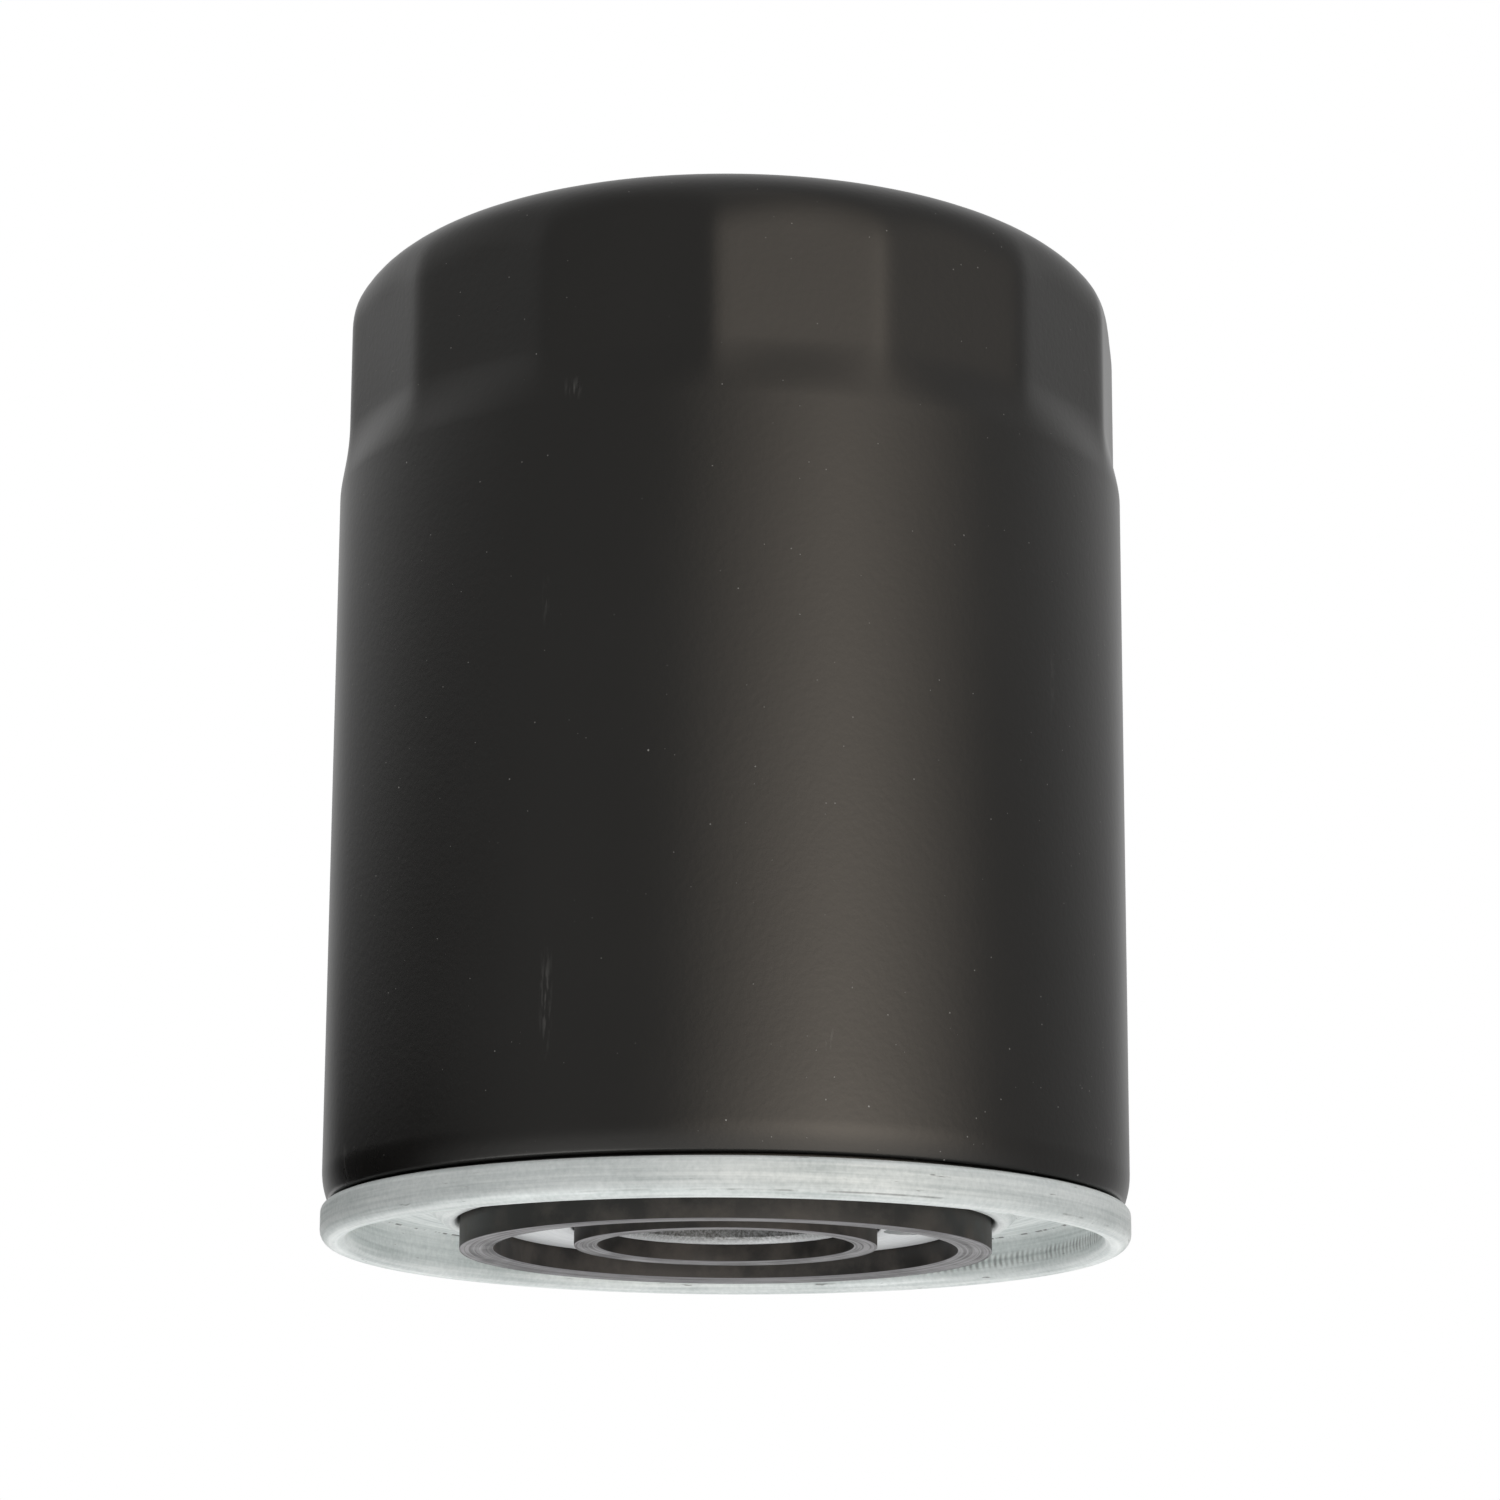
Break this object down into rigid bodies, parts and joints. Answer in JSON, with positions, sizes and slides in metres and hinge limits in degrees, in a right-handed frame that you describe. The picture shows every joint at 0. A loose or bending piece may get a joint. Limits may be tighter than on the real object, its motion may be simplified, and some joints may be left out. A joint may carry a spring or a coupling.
{
  "type": "oil filter",
  "caption": "Spin-on engine oil filter: black drawn can with wrench flats, rolled-seam zinc lid, two rubber gaskets, threaded base plate, pleated element and bypass valve.",
  "frame": {"origin": "centre of the outer gasket's sealing face", "axes": "+Z along the can's axis from the sealing face to the dome; -Y is the side that the picture shows"},
  "size_m": [0.1079, 0.1079, 0.137],
  "materials": {
    "black_paint": "satin black paint on drawn steel",
    "zinc_sheet": "zinc-coated pressed sheet with circular tool marks",
    "zinc_plate": "zinc-plated steel plate",
    "gasket_rubber": "ground nitrile rubber",
    "valve_rubber": "moulded nitrile rubber",
    "tinplate": "bright tinplate",
    "plastisol": "cured plastisol",
    "filter_paper": "resin-treated filter paper",
    "valve_steel": "turned steel",
    "spring_steel": "drawn spring wire"
  },
  "bodies": {
    "housing": {"can": "black_paint", "seam_lid": "zinc_sheet", "base_plate": "zinc_plate", "outer_gasket": "gasket_rubber", "inner_gasket": "gasket_rubber", "anti_drain_valve": "valve_rubber", "element_spring": "spring_steel"},
    "element": {"lower_end_cap": "tinplate", "lower_bond_ring": "plastisol", "pleated_media": "filter_paper", "media_clip": "tinplate", "center_tube": "tinplate", "upper_bond_ring": "plastisol", "upper_end_cap": "tinplate", "bypass_seat": "valve_steel", "bypass_cage": "tinplate", "bypass_spring": "spring_steel", "spring_seat": "tinplate"},
    "bypass_valve": {"bypass_poppet": "valve_steel", "bypass_seal": "valve_rubber"}
  },
  "joints": [
    {"name": "element_float", "type": "slide", "parent": "housing", "child": "element", "axis": [0, 0, 1], "range_m": [0, 0.002], "stiffness_N_per_m": 6000, "springref_m": -0.01, "deforming": ["element_spring"]},
    {"name": "bypass_lift", "type": "slide", "parent": "element", "child": "bypass_valve", "axis": [0, 0, -1], "range_m": [0, 0.0035], "stiffness_N_per_m": 2500, "springref_m": -0.006, "deforming": ["bypass_spring"]}
  ]
}
